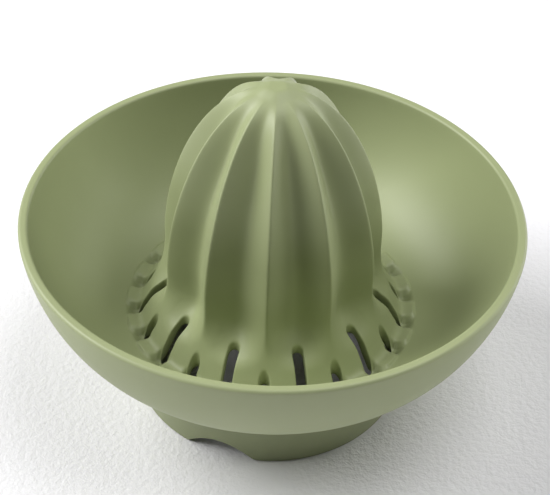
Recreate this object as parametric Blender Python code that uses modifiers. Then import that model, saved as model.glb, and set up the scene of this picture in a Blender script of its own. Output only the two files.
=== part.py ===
"""Hand citrus juicer: a bowl with a fluted reamer and a slotted strainer, standing on a foot ring.

Frame: metres, +Z up. The origin is on the table, under the middle of the juicer.
Azimuths are measured from +X towards +Y. A ridge of the reamer points to -Y.
The height of each thing is stacked from the table: foot ring, seat, strainer, bowl, reamer.
"""

import math

import bmesh
import bpy
import numpy as np
from mathutils import Matrix

MM = 0.001

# Bowl
RIM_D = 140.4 * MM
BOWL_DEPTH = 34.8 * MM          # from the bottom of the gutter to the top of the lip
WALL = 2.8 * MM                 # one wall all through the upper piece
LIP_EDGE = 0.75 * MM            # rounding of the flat lip's two edges
WALL_LEAN = 82.7                # degrees, how steep the bowl's wall stands under the lip
WALL_STRAIGHT = 15.8 * MM       # reach of the steep stretch under the lip
FLOOR_RISE = 13.1               # degrees, how the bowl's floor climbs away from the gutter
FLOOR_REACH = 15.2 * MM         # reach of the shallow stretch

# Reamer
REAMER_D = 62.9 * MM            # over the ridges
REAMER_H = 74.7 * MM            # from the bottom of the gutter to the dome's top
DOME_H = 51.4 * MM              # the part of that height that curves in
DOME_FULLNESS = 1.655           # exponents of the dome's outline: 2 and 2 make an ellipse
DOME_SHARPNESS = 2.2
RIDGES = 11
FLUTE_DEPTH = 5.0 * MM
FLUTE_START_D = 4.0 * MM        # the flutes begin at this diameter, under the crown
FLUTE_FULL_D = 56.0 * MM        # and have their full depth here
FLUTE_END = 6.6 * MM            # the flutes have run out at this height over the gutter
FLUTE_FADE = 8.0 * MM           # and are full this much higher
FLUTE_CORNER = 0.2              # share of that height which rounds the ramp's two ends
FLUTE_SCOOP = 3.0 * MM          # a flute runs out this much higher at its sides
HOLLOWNESS = 0.6                # 0 makes plain scallops, 1 a wave with no edge on the ridges
CREST_ROUND = 0.06              # rounded share of half a ridge's pitch

# Crown on the dome's top
CROWN_D = 9.8 * MM              # at its foot on the dome
CROWN_H = 0.9 * MM              # over the dome's top
CROWN_LOBES = 5
CROWN_LOBE = 0.15 * MM
CROWN_DENT = 0.15 * MM
CROWN_HOLLOW = 0.3              # shares of the crown's radius: where its dent ends,
CROWN_BROW = 0.58               # where it is highest
CROWN_SIDE = 0.8                # and the middle of its soft side

# Strainer: the skirt that flares from the reamer into the gutter, and its slots
GUTTER_D = 80.8 * MM
GUTTER_ROUND = 4.0 * MM
SKIRT_H = 21.0 * MM             # the reamer starts to flare at this height over the gutter
SKIRT_SLOPE = 58.0              # degrees, where the skirt meets the gutter
SKIRT_BEND = 0.38               # share of the skirt's height that bends at each end
SLOT_W = 2.8 * MM
SLOT_MARGIN = 1.8 * MM          # from the slots' outer ends to the middle of the gutter
LONG_SLOT = 8.3 * MM
SHORT_SLOT = 3.9 * MM
SLOT_SOFT = 0.7 * MM            # softened edge round each slot
SLOT_THROAT = 1.0 * MM          # depth of that softened edge
SLOT_SCOOP = 2.6 * MM           # the scoop that leads from the bowl's floor into each slot

# Foot ring
FOOT_H = 21.9 * MM
FOOT_D = 79.0 * MM              # at the table
FOOT_WALL = 2.4 * MM
FOOT_EDGE = 0.8 * MM
ARCH_W = 20.0 * MM
ARCH_H = 6.1 * MM
ARCH_AZIMUTH = -108.0

# Seat of the upper piece on the foot ring
GAP = 0.3 * MM
DRIP_EDGE = 0.8 * MM            # from the slots' outer ends to the foot ring's inside
SOCKET_DEPTH = 4.0 * MM
SOCKET_WALL = 1.8 * MM
KEYS = 3
KEY_W = 5.0 * MM
KEY_H = 2.0 * MM

# Fineness
COLUMNS_PER_RIDGE = 8
CREST_CROWDING = 0.55           # 0 spreads the columns evenly, towards 1 crowds them on the ridges
SLOT_END_POINTS = 6
ARCH_POINTS = 13
RING_STEPS = 72
FINE = 24                       # points on an outline that is only measured
SHARP_ANGLE = 32.0              # degrees, faces that meet at more are shaded with an edge

# Dependent levels and radii
SEAT_Z = FOOT_H + GAP
GUTTER_Z = SEAT_Z + WALL
LIP_Z = GUTTER_Z + BOWL_DEPTH
DOME_TOP_Z = GUTTER_Z + REAMER_H
DOME_BASE_Z = DOME_TOP_Z - DOME_H
SKIRT_Z = GUTTER_Z + SKIRT_H
RIM_R = RIM_D / 2
LIP_INNER_R = RIM_R - LIP_EDGE - (WALL - 2 * LIP_EDGE) * math.sin(math.radians(WALL_LEAN))
REAMER_R = REAMER_D / 2
CROWN_R = CROWN_D / 2
GUTTER_R = GUTTER_D / 2
SLOT_R = GUTTER_R - SLOT_MARGIN
FOOT_R = FOOT_D / 2
PLUG_R = SLOT_R + DRIP_EDGE + FOOT_WALL
SOCKET_R = PLUG_R + GAP
SOCKET_OUTER_R = SOCKET_R + SOCKET_WALL
PITCH = 2 * math.pi / RIDGES
FRONT = -math.pi / 2

GREEN = (0.335, 0.375, 0.215, 1.0)
MATTE = 0.62


def clear_scene():
    """Remove whatever the file starts with."""
    for item in list(bpy.data.objects):
        bpy.data.objects.remove(item, do_unlink=True)


def new_collection(name):
    """A collection of its own for the parts or the cutters."""
    group = bpy.data.collections.new(name)
    bpy.context.scene.collection.children.link(group)
    return group


def plastic(name, colour, roughness):
    """A matte moulded plastic."""
    material = bpy.data.materials.new(name)
    material.use_nodes = True
    shader = material.node_tree.nodes["Principled BSDF"]
    shader.inputs["Base Color"].default_value = colour
    shader.inputs["Roughness"].default_value = roughness
    shader.inputs["Metallic"].default_value = 0.0
    return material


def bezier(start, lead, arrive, end, count):
    """Points on a cubic curve, both ends included."""
    t = np.linspace(0.0, 1.0, count)[:, None]
    start, lead, arrive, end = (np.array(p) for p in (start, lead, arrive, end))
    return ((1 - t) ** 3 * start + 3 * t * (1 - t) ** 2 * lead
            + 3 * t * t * (1 - t) * arrive + t ** 3 * end)


def arc(centre, radius, first, last, count):
    """Points on a circle between two angles in degrees, both ends included."""
    angle = np.radians(np.linspace(first, last, count))
    return np.stack([centre[0] + radius * np.cos(angle), centre[1] + radius * np.sin(angle)], axis=1)


def outward(points):
    """Unit normals of an outline that runs from the axis down the outer side."""
    along = np.gradient(points, axis=0)
    normal = np.stack([-along[:, 1], along[:, 0]], axis=1)
    return normal / np.linalg.norm(normal, axis=1)[:, None]


def dome_outline(count):
    """Ridge line of the dome, from the crown's foot to the reamer's full width."""
    crown = (1 - (CROWN_R / REAMER_R) ** DOME_SHARPNESS) ** (1 / DOME_FULLNESS)
    height = np.sin(np.linspace(math.asin(crown), 0.0, count))
    radius = REAMER_R * (1 - height ** DOME_FULLNESS) ** (1 / DOME_SHARPNESS)
    return np.stack([radius, DOME_BASE_Z + DOME_H * height], axis=1)


def skirt_outline(count):
    """The flare from the reamer's straight side into the gutter."""
    slope = math.radians(SKIRT_SLOPE)
    foot = gutter_outline(2)[0]
    reach = SKIRT_BEND * SKIRT_H
    return bezier((REAMER_R, SKIRT_Z),
                  (REAMER_R, SKIRT_Z - reach),
                  (foot[0] - reach * math.cos(slope), foot[1] + reach * math.sin(slope)),
                  foot, count)


def gutter_outline(count):
    """The round bottom between the skirt and the bowl's floor."""
    centre = (GUTTER_R, GUTTER_Z + GUTTER_ROUND)
    return arc(centre, GUTTER_ROUND, 270 - SKIRT_SLOPE, 270 + FLOOR_RISE, count)


def bowl_outline(count):
    """Inside of the bowl, from the gutter up to the lip."""
    rise = math.radians(FLOOR_RISE)
    lean = math.radians(WALL_LEAN)
    start = gutter_outline(2)[-1]
    edge = np.array([LIP_INNER_R, LIP_Z - LIP_EDGE])
    end = edge + LIP_EDGE * np.array([-math.sin(lean), math.cos(lean)])
    lead = start + FLOOR_REACH * np.array([math.cos(rise), math.sin(rise)])
    arrive = end - WALL_STRAIGHT * np.array([math.cos(lean), math.sin(lean)])
    return bezier(start, lead, arrive, end, count)


def lip_outline(count):
    """Flat lip with two rounded edges, from the inner wall over the top to the outer wall."""
    level = LIP_Z - LIP_EDGE
    inner = arc((LIP_INNER_R, level), LIP_EDGE, 90 + WALL_LEAN, 90, count)
    outer = arc((RIM_R - LIP_EDGE, level), LIP_EDGE, 90, WALL_LEAN - 90, count)
    return join(inner, outer)


def join(*outlines):
    """Outlines end to end, each shared point once."""
    return np.concatenate([outlines[0]] + [outline[1:] for outline in outlines[1:]])


def smoothstep(x):
    """0 below 0, 1 above 1 and a soft curve between."""
    x = np.clip(x, 0.0, 1.0)
    return x * x * (3 - 2 * x)


def column_azimuths():
    """Azimuths of the columns, crowded towards the ridges."""
    count = RIDGES * COLUMNS_PER_RIDGE
    turn = (np.arange(count) + 0.5) / COLUMNS_PER_RIDGE
    turn = turn - CREST_CROWDING * np.sin(2 * math.pi * turn) / (2 * math.pi)
    return FRONT + PITCH * turn


def soft_ramp(x):
    """0 below 0, x up to 1, 1 above, with both corners rounded by parabolas."""
    ramp = 0.0
    for corner, sign in ((0.0, 1), (1.0, -1)):
        bend = np.clip(x - corner + FLUTE_CORNER, 0.0, 2 * FLUTE_CORNER)
        straight = np.clip(x - corner - FLUTE_CORNER, 0.0, None)
        ramp = ramp + sign * (bend ** 2 / (4 * FLUTE_CORNER) + straight)
    return ramp


def off_ridge(azimuth):
    """0 on a ridge and 1 in the middle of a flute, with the ridge itself rounded."""
    turn = (azimuth - FRONT) / PITCH
    off = 2 * np.abs(turn - np.round(turn))
    crest = off * off / (2 * CREST_ROUND) + CREST_ROUND / 2
    return np.where(off < CREST_ROUND, crest, off)


def flute_depths(points, azimuth):
    """Depth of the flutes at each point of the ridge line, one row a point and one column an azimuth.

    They grow from the crown down the dome and run out in rounded scoops above the slots.
    """
    off = off_ridge(azimuth)
    across = (1 - HOLLOWNESS) * (1 - (1 - off) ** 2) + HOLLOWNESS * smoothstep(off)
    grown = smoothstep((2 * points[:, 0] - FLUTE_START_D) / (FLUTE_FULL_D - FLUTE_START_D))
    rise = points[:, 1] - GUTTER_Z - FLUTE_END
    fade = soft_ramp((rise[:, None] - FLUTE_SCOOP * (1 - off) ** 2) / FLUTE_FADE)
    inside = points[:, 0] < GUTTER_R
    return FLUTE_DEPTH * (grown * inside)[:, None] * across * fade


def crown_rings(azimuth):
    """The crown's rings, from just off its middle to its foot on the dome."""
    lobe = CROWN_LOBE * np.cos(CROWN_LOBES * (azimuth - FRONT))
    foot = dome_outline(2)[0][1]
    top = DOME_TOP_Z + CROWN_H
    shares = (CROWN_HOLLOW, CROWN_BROW, CROWN_SIDE)
    heights = (top - CROWN_DENT / 2, top, (top + foot) / 2)
    rings = []
    for share, height in zip(shares, heights):
        rings.append((share * (CROWN_R + lobe), np.full_like(azimuth, height)))
    return rings, top - CROWN_DENT


def loft(name, rings, azimuth, first_pole, last_pole):
    """A closed mesh through rings of equal count, with a point on the axis at each end."""
    columns = len(azimuth)
    around = np.stack([np.cos(azimuth), np.sin(azimuth)], axis=1)
    points = np.concatenate([np.column_stack([r[:, None] * around, z]) for r, z in rings])
    faces = []
    for ring in range(len(rings) - 1):
        for column in range(columns):
            after = (column + 1) % columns
            near = ring * columns
            far = near + columns
            faces.append((near + column, far + column, far + after, near + after))
    top = len(points)
    last = (len(rings) - 1) * columns
    for column in range(columns):
        after = (column + 1) % columns
        faces.append((top, column, after))
        faces.append((top + 1, last + after, last + column))
    points = np.vstack([points, (0.0, 0.0, first_pole), (0.0, 0.0, last_pole)])
    mesh = bpy.data.meshes.new(name)
    mesh.from_pydata(points.tolist(), [], faces)
    return mesh


def reamer_outline():
    """Ridge line of the reamer and its skirt, from the crown's foot to the gutter."""
    return join(dome_outline(7), np.array([(REAMER_R, DOME_BASE_Z), (REAMER_R, SKIRT_Z)]), skirt_outline(8))


def skin_outline():
    """The upper skin from the crown's foot to the lip's outer side, as one line."""
    return join(reamer_outline(), gutter_outline(3), bowl_outline(6), lip_outline(3))


def under_outline():
    """Underside of the bowl from the lip inwards, and the socket under it in to the seat."""
    bowl = bowl_outline(6)
    outer = (bowl - WALL * outward(bowl))[-2::-1]
    outer = outer[outer[:, 0] > SOCKET_OUTER_R + SOCKET_WALL]
    floor = np.interp(SOCKET_OUTER_R, bowl[:, 0], bowl[:, 1])
    meet = floor - WALL / math.cos(math.radians(FLOOR_RISE))
    socket = np.array([(SOCKET_OUTER_R, meet),
                       (SOCKET_OUTER_R, SEAT_Z - SOCKET_DEPTH),
                       (SOCKET_R, SEAT_Z - SOCKET_DEPTH),
                       (SOCKET_R, SEAT_Z)])
    return outer, socket


def fluted(line, normals, grooves):
    """One ring for each point of a line, moved in along the normal by the flutes' depth."""
    return [(point[0] - groove * normal[0], point[1] - groove * normal[1])
            for point, normal, groove in zip(line, normals, grooves)]


def head_rings(azimuth):
    """All rings of the upper piece, over the top, round the lip and back underneath.

    Inside the skirt and reamer runs the ridge line moved in by one wall, with the same flutes.
    """
    rings, crown_pole = crown_rings(azimuth)
    skin = skin_outline()
    rings += fluted(skin, outward(skin), flute_depths(skin, azimuth))
    outer, socket = under_outline()
    for radius, height in np.concatenate([outer, socket]):
        rings.append((np.full_like(azimuth, radius), np.full_like(azimuth, height)))
    ridge = reamer_outline()[::-1]
    normals = -outward(ridge)
    inner = ridge - WALL * normals
    seat_r = inner[0][0] - (SEAT_Z - inner[0][1]) / math.tan(math.radians(SKIRT_SLOPE))
    rings.append((np.full_like(azimuth, seat_r), np.full_like(azimuth, SEAT_Z)))
    rings += fluted(inner, normals, flute_depths(ridge, azimuth))
    return rings, crown_pole, inner[-1][1]


def stadium(inner_r, outer_r, half_width):
    """Outline of a round-ended slot along +X, anticlockwise, outer end first, as rows of (x, y)."""
    step = math.pi / SLOT_END_POINTS
    angle = np.arange(SLOT_END_POINTS) * step + step / 2 - math.pi / 2
    scale = half_width / math.cos(step / 2)
    end = np.stack([np.cos(angle), np.sin(angle)], axis=1) * scale
    far = end + (outer_r - half_width, 0.0)
    near = -end + (inner_r + half_width, 0.0)
    return np.concatenate([far, near])


def slot_mesh(azimuth, length):
    """Cutter of one slot: upright walls, then a soft mouth that runs out in a scoop.

    The mouth follows the straight line on the skirt between the slot's two ends.
    """
    inner_r = SLOT_R - length
    skirt = join(skirt_outline(FINE), gutter_outline(FINE))
    skirt = skirt - flute_depths(skirt, np.array([azimuth])) * outward(skirt)
    ends = np.interp((inner_r, SLOT_R), skirt[:, 0], skirt[:, 1])
    fall = (ends[0] - ends[1]) / length
    narrow = stadium(inner_r, SLOT_R, SLOT_W / 2)
    spread = 2 * SLOT_SOFT
    wide = stadium(inner_r - spread, SLOT_R + spread, SLOT_W / 2 + spread)
    wide[:SLOT_END_POINTS, 0] += SLOT_SCOOP
    floor = bowl_outline(FINE)
    over_floor = np.interp(wide[:, 0], floor[:, 0], floor[:, 1]) + SLOT_SOFT
    over_skirt = ends[0] - fall * (wide[:, 0] - inner_r) + SLOT_THROAT
    mouth = np.maximum(over_skirt, over_floor)
    throat = np.maximum(ends[0] - fall * (narrow[:, 0] - inner_r), GUTTER_Z) - SLOT_THROAT
    deep = np.full(len(narrow), SEAT_Z - SOCKET_DEPTH - GAP)
    high = np.full(len(narrow), SKIRT_Z + SOCKET_DEPTH)
    sections = ((narrow, deep), (narrow, throat), (wide, mouth), (wide, high))
    turn = np.array([[math.cos(azimuth), math.sin(azimuth)], [-math.sin(azimuth), math.cos(azimuth)]])
    points = np.concatenate([np.column_stack([flat @ turn, level]) for flat, level in sections])
    count = len(narrow)
    faces = [tuple(range(count))[::-1], tuple(range(3 * count, 4 * count))]
    for section in range(3):
        for side in range(count):
            after = (side + 1) % count
            low = section * count
            faces.append((low + side, low + after, low + count + after, low + count + side))
    mesh = bpy.data.meshes.new("slot")
    mesh.from_pydata(points.tolist(), [], faces)
    return mesh


def joined_cutter(name, meshes, group):
    """Several separate cutters as one wire object."""
    work = bmesh.new()
    for mesh in meshes:
        work.from_mesh(mesh)
        bpy.data.meshes.remove(mesh)
    mesh = bpy.data.meshes.new(name)
    work.to_mesh(mesh)
    work.free()
    return guide(name, mesh, group)


def guide(name, mesh, group):
    """A wire object that only serves a modifier and is never rendered."""
    cutter = bpy.data.objects.new(name, mesh)
    cutter.display_type = "WIRE"
    cutter.hide_render = True
    group.objects.link(cutter)
    return cutter


def cut(target, cutter):
    """Take the cutter's volume out of the target."""
    modifier = target.modifiers.new(cutter.name, "BOOLEAN")
    modifier.operation = "DIFFERENCE"
    modifier.object = cutter


def slot_cutters(group):
    """A long slot under each flute and a short one under each ridge."""
    meshes = []
    for index in range(2 * RIDGES):
        length = LONG_SLOT if index % 2 else SHORT_SLOT
        meshes.append(slot_mesh(FRONT + index * PITCH / 2, length))
    return joined_cutter("slot_cutter", meshes, group)


def box_mesh(name, size, place, turn):
    """A box of the given size, moved out to place and turned about the vertical axis."""
    work = bmesh.new()
    bmesh.ops.create_cube(work, size=1.0)
    for corner in work.verts:
        corner.co = [corner.co[axis] * size[axis] + place[axis] for axis in range(3)]
    work.transform(Matrix.Rotation(turn, 4, "Z"))
    mesh = bpy.data.meshes.new(name)
    work.to_mesh(mesh)
    work.free()
    return mesh


def key_azimuths():
    """The keys are evenly spaced, with the arch in the middle between two of them."""
    return [math.radians(ARCH_AZIMUTH) + (index + 0.5) * 2 * math.pi / KEYS for index in range(KEYS)]


def key_meshes(width, height, inner_r, outer_r, bottom):
    """Blocks across the wall of the ring, one at each key."""
    size = (outer_r - inner_r, width, height)
    place = ((outer_r + inner_r) / 2, 0.0, bottom + height / 2)
    return [box_mesh("key", size, place, azimuth) for azimuth in key_azimuths()]


def make_head(parts, cutters, material):
    """The upper moulding: bowl, strainer and reamer in one wall, with the socket underneath."""
    azimuth = column_azimuths()
    rings, crown_pole, hollow_pole = head_rings(azimuth)
    mesh = loft("juicer_head", rings, azimuth, crown_pole, hollow_pole)
    head = bpy.data.objects.new("juicer_head", mesh)
    head.data.materials.append(material)
    parts.objects.link(head)
    inner_r = PLUG_R - FOOT_WALL
    outer_r = SOCKET_R + SOCKET_WALL / 2
    keys = key_meshes(KEY_W, KEY_H + WALL / 2, inner_r, outer_r, SEAT_Z - KEY_H)
    union = head.modifiers.new("keys", "BOOLEAN")
    union.operation = "UNION"
    union.object = joined_cutter("key_blocks", keys, cutters)
    cut(head, slot_cutters(cutters))
    return head


def foot_outline():
    """Section of the foot ring, from its top's inner edge down the outer side and back up inside."""
    shoulder = FOOT_H - SOCKET_DEPTH - GAP
    top = [(PLUG_R - FOOT_WALL, FOOT_H),
           (PLUG_R - FOOT_EDGE / 2, FOOT_H),
           (PLUG_R, FOOT_H - FOOT_EDGE / 2),
           (PLUG_R, shoulder)]
    edge = arc((FOOT_R - FOOT_EDGE, FOOT_EDGE), FOOT_EDGE, 0, -90, 3)
    inside = [(FOOT_R - FOOT_WALL, 0.0),
              (PLUG_R - FOOT_WALL, shoulder)]
    return top + edge.tolist() + inside


def arch_mesh():
    """Cutter of the arch: a parabola over the table, pushed through the ring's wall."""
    half = ARCH_W / 2
    curve = bpy.data.curves.new("arch", "CURVE")
    curve.dimensions = "2D"
    curve.fill_mode = "BOTH"
    curve.extrude = FOOT_R / 4
    across = np.linspace(-1.0, 1.0, ARCH_POINTS)
    outline = [(half * x, ARCH_H * (1 - x * x)) for x in across]
    outline += [(half, -ARCH_H), (-half, -ARCH_H)]
    spline = curve.splines.new("POLY")
    spline.points.add(len(outline) - 1)
    for point, (x, y) in zip(spline.points, outline):
        point.co = (x, y, 0.0, 1.0)
    spline.use_cyclic_u = True
    holder = bpy.data.objects.new("arch", curve)
    bpy.context.scene.collection.objects.link(holder)
    reader = bpy.context.evaluated_depsgraph_get()
    mesh = bpy.data.meshes.new_from_object(holder.evaluated_get(reader))
    bpy.data.objects.remove(holder, do_unlink=True)
    weld = bmesh.new()
    weld.from_mesh(mesh)
    bmesh.ops.remove_doubles(weld, verts=weld.verts, dist=0.01 * MM)
    weld.to_mesh(mesh)
    weld.free()
    return mesh


def make_foot(parts, cutters, material):
    """The foot ring: a turned collar with an arch and three notches for the keys."""
    outline = foot_outline()
    mesh = bpy.data.meshes.new("foot_ring")
    count = len(outline)
    mesh.from_pydata([(r, 0.0, z) for r, z in outline], [(i, (i + 1) % count) for i in range(count)], [])
    foot = bpy.data.objects.new("foot_ring", mesh)
    foot.data.materials.append(material)
    parts.objects.link(foot)
    turned = foot.modifiers.new("turned", "SCREW")
    turned.axis = "Z"
    turned.steps = RING_STEPS
    turned.render_steps = RING_STEPS
    turned.use_merge_vertices = True
    turned.merge_threshold = 0.01 * MM
    notches = key_meshes(KEY_W + 2 * GAP, KEY_H + GAP + FOOT_EDGE, PLUG_R - 2 * FOOT_WALL,
                         PLUG_R + FOOT_WALL, FOOT_H - KEY_H - GAP)
    cut(foot, joined_cutter("notch_cutter", notches, cutters))
    cutter = guide("arch_cutter", arch_mesh(), cutters)
    bearing = math.radians(ARCH_AZIMUTH)
    cutter.location = (FOOT_R * math.cos(bearing), FOOT_R * math.sin(bearing), 0.0)
    cutter.rotation_euler = (math.pi / 2, 0.0, bearing + math.pi / 2)
    cut(foot, cutter)
    return foot


def smooth(item, angle):
    """Shade smooth, with sharp edges where faces meet at more than the angle in degrees."""
    item.data.shade_smooth()
    item.data.set_sharp_from_angle(angle=math.radians(angle))


def main():
    clear_scene()
    parts = new_collection("citrus_juicer")
    cutters = new_collection("cutters")
    head = make_head(parts, cutters, plastic("head_plastic", GREEN, MATTE))
    foot = make_foot(parts, cutters, plastic("foot_plastic", GREEN, MATTE))
    smooth(head, SHARP_ANGLE)
    smooth(foot, SHARP_ANGLE)


main()
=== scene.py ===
# %% [markdown]
# # A plastic citrus juicer, dressed for a studio photograph
# A hand juicer is one bowl with a fluted dome, the reamer, in its middle and a slotted strainer
# around the dome. It stands on a low foot ring and can be lifted off it. The imported model already
# has these two solids with few faces. Here both get a fine surface of the same shape, a moulded
# plastic finish, and the light and camera of the photograph.

# %% The frame, the libraries and the box round each imported part
import math

import bmesh
import bpy
import numpy as np
from mathutils import Matrix, Vector


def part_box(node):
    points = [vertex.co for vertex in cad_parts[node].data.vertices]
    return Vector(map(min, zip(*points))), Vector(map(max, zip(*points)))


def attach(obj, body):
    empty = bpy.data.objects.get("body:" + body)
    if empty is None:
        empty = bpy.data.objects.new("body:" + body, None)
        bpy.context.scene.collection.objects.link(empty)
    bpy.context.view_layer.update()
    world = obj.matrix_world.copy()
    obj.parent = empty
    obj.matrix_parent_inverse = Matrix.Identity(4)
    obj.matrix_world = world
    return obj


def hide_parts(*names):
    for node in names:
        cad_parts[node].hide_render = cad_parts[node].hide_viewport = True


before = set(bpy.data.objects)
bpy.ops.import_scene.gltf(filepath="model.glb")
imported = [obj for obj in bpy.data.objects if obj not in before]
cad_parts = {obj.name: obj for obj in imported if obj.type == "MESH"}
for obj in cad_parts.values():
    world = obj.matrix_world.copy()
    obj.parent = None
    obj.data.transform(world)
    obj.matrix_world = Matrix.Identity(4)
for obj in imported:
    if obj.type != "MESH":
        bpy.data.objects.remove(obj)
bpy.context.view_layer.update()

head_low, head_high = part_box("juicer_head")
foot_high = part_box("foot_ring")[1]


def in_mm(length):
    """Metres x 1000, to a tenth of a millimetre, for printing."""
    return round(1000 * length, 1)


# %% [markdown]
# ## The section of the juicer
# Everything on a juicer is turned about one axis, so its shape is a section: a line of radius
# and height that starts at the top of the dome, runs down into the strainer, over the bowl's
# floor and wall to the lip, and back underneath. It could be traced by hand as a table of
# points. It is put together from arcs, cubic curves and one formula instead, because a maker
# thinks in radii and slopes, and each size can then be changed by itself.

# %% Sizes of the section, in metres and degrees
MM = 0.001
RIM_R = min(head_high.x, -head_low.x, head_high.y, -head_low.y)
WALL = 2.8 * MM                 # one wall all through the upper piece
GAP = 0.3 * MM                  # between the upper piece and the foot ring
SEAT_Z = foot_high.z + GAP
GUTTER_Z = SEAT_Z + WALL
BOWL_DEPTH = 34.8 * MM
LIP_Z = GUTTER_Z + BOWL_DEPTH
LIP_EDGE = 0.95 * MM            # the lip has a narrow flat on top and two rounded edges
WALL_LEAN = 82.7                # how steep the bowl's wall stands under the lip
WALL_STRAIGHT = 15.8 * MM       # how far the curve keeps to that slope
FLOOR_RISE = 13.1               # how the bowl's floor climbs from the gutter
FLOOR_REACH = 15.2 * MM         # how far the curve keeps to that slope
REAMER_R = 31.45 * MM           # over the crests
DOME_H = 51.4 * MM
DOME_BASE_Z = GUTTER_Z + 23.3 * MM
DOME_FULLNESS = 1.655           # the a of the dome's formula, larger is fuller at the top
DOME_SHARPNESS = 2.2            # the b of the dome's formula, larger is fuller at the side
SKIRT_Z = GUTTER_Z + 21.0 * MM  # the flare into the gutter begins here
SKIRT_SLOPE = 58.0              # how steep it runs into the gutter
SKIRT_REACH = 7.98 * MM         # how far it keeps to each of its two slopes
GUTTER_R = 40.4 * MM
GUTTER_ROUND = 4.0 * MM
LIP_INNER_R = RIM_R - LIP_EDGE - (WALL - 2 * LIP_EDGE) * math.sin(math.radians(WALL_LEAN))

print("rim across", in_mm(2 * RIM_R), "mm, lip at", in_mm(LIP_Z), "mm")


# %% Curves that a section is joined from
def bezier(start, lead, arrive, end, count):
    """A cubic curve: each end point and its handle weigh in by the cubic Bernstein terms."""
    t = np.linspace(0.0, 1.0, count)[:, None]
    start, lead, arrive, end = (np.array(p) for p in (start, lead, arrive, end))
    return ((1 - t) ** 3 * start + 3 * t * (1 - t) ** 2 * lead
            + 3 * t * t * (1 - t) * arrive + t ** 3 * end)


def arc(centre, radius, first, last, count):
    """Points at one distance from a centre, between two angles in degrees."""
    angle = np.radians(np.linspace(first, last, count))
    return centre + radius * np.stack([np.cos(angle), np.sin(angle)], axis=1)


def line(start, end, count):
    """Evenly spaced points from start to end."""
    return np.linspace(start, end, count)


def join(*pieces):
    """Pieces of the section end to end, each shared point once."""
    return np.concatenate([pieces[0]] + [piece[1:] for piece in pieces[1:]])


# %% The section's pieces, from the top of the dome to the lip
DOME_POINTS = 240
STRAIGHT_POINTS = 20
SKIRT_POINTS = 160
GUTTER_POINTS = 40
BOWL_POINTS = 200
LIP_POINTS = 60                 # on each of the lip's two edges


def dome_piece(count):
    """The dome's ridge line: radius = R (1 - h^a)^(1/b), where h is the share of the height."""
    height = np.sin(np.linspace(math.pi / 2, 0.0, count))
    radius = REAMER_R * (1 - height ** DOME_FULLNESS) ** (1 / DOME_SHARPNESS)
    return np.stack([radius, DOME_BASE_Z + DOME_H * height], axis=1)


def gutter_piece(count):
    """The round bottom between the skirt and the bowl's floor."""
    centre = (GUTTER_R, GUTTER_Z + GUTTER_ROUND)
    return arc(centre, GUTTER_ROUND, 270 - SKIRT_SLOPE, 270 + FLOOR_RISE, count)


def skirt_piece(count):
    """The flare, a cubic curve from the reamer's upright side into the gutter's inner end."""
    slope = math.radians(SKIRT_SLOPE)
    start = np.array([REAMER_R, SKIRT_Z])
    end = gutter_piece(2)[0]
    lead = start - SKIRT_REACH * np.array([0.0, 1.0])
    arrive = end - SKIRT_REACH * np.array([math.cos(slope), -math.sin(slope)])
    return bezier(start, lead, arrive, end, count)


def reamer_piece(dome_points, skirt_points):
    """Dome, upright side and skirt end to end."""
    side = line((REAMER_R, DOME_BASE_Z), (REAMER_R, SKIRT_Z), STRAIGHT_POINTS)
    return join(dome_piece(dome_points), side, skirt_piece(skirt_points))


def bowl_piece(count):
    """The bowl's inside, a cubic curve from the gutter's outer end up to the lip."""
    rise, lean = math.radians(FLOOR_RISE), math.radians(WALL_LEAN)
    start = gutter_piece(2)[-1]
    end = np.array([LIP_INNER_R, LIP_Z - LIP_EDGE])
    end = end + LIP_EDGE * np.array([-math.sin(lean), math.cos(lean)])
    lead = start + FLOOR_REACH * np.array([math.cos(rise), math.sin(rise)])
    arrive = end - WALL_STRAIGHT * np.array([math.cos(lean), math.sin(lean)])
    return bezier(start, lead, arrive, end, count)


def lip_piece(count):
    """The lip: a round edge, the flat top and a second round edge down to the outer wall."""
    level = LIP_Z - LIP_EDGE
    return join(arc((LIP_INNER_R, level), LIP_EDGE, 90 + WALL_LEAN, 90, count),
                arc((RIM_R - LIP_EDGE, level), LIP_EDGE, 90, WALL_LEAN - 90, count))


top_line = join(reamer_piece(DOME_POINTS, SKIRT_POINTS), gutter_piece(GUTTER_POINTS),
                bowl_piece(BOWL_POINTS), lip_piece(LIP_POINTS))
print("section over the top:", len(top_line), "points")

# %% [markdown]
# ## The flutes
# A reamer's flutes are hollow scallops that meet in soft crests. They could be cut out with
# eleven long cutters. Here each point of the section is moved inwards along its own normal by a
# depth that depends on the height and on how far the point is from a crest, so the flutes
# follow the dome, narrow towards its top and die out in the skirt.

# %% The flutes as a share of their depth
RIDGES = 11
FRONT = -math.pi / 2            # azimuth of the ridge that faces the camera
PITCH = 2 * math.pi / RIDGES
FLUTE_DEPTH = 5.6 * MM
FLUTE_START_R = 4.5 * MM        # the flutes begin here, under the crown
FLUTE_FULL_R = 25.0 * MM        # and have their full depth here
FLUTE_END = 6.6 * MM            # height over the gutter at which a flute has run out
FLUTE_FADE = 8.0 * MM           # length of the ramp on which it runs out
FLUTE_CORNER = 0.2              # share of that length which rounds each end of the ramp
FLUTE_SCOOP = 3.0 * MM          # it runs out this much higher at its sides than in its middle
CREST_ROUND = 0.05              # half width of a crest's rounding, as a share of half a pitch
HOLLOWNESS = 0.45               # 0 a plain scallop, 1 a wave with no edge on the crest


def smoothstep(x):
    """0 below 0, 1 above 1, and 3x^2 - 2x^3 between."""
    x = np.clip(x, 0.0, 1.0)
    return x * x * (3 - 2 * x)


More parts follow.
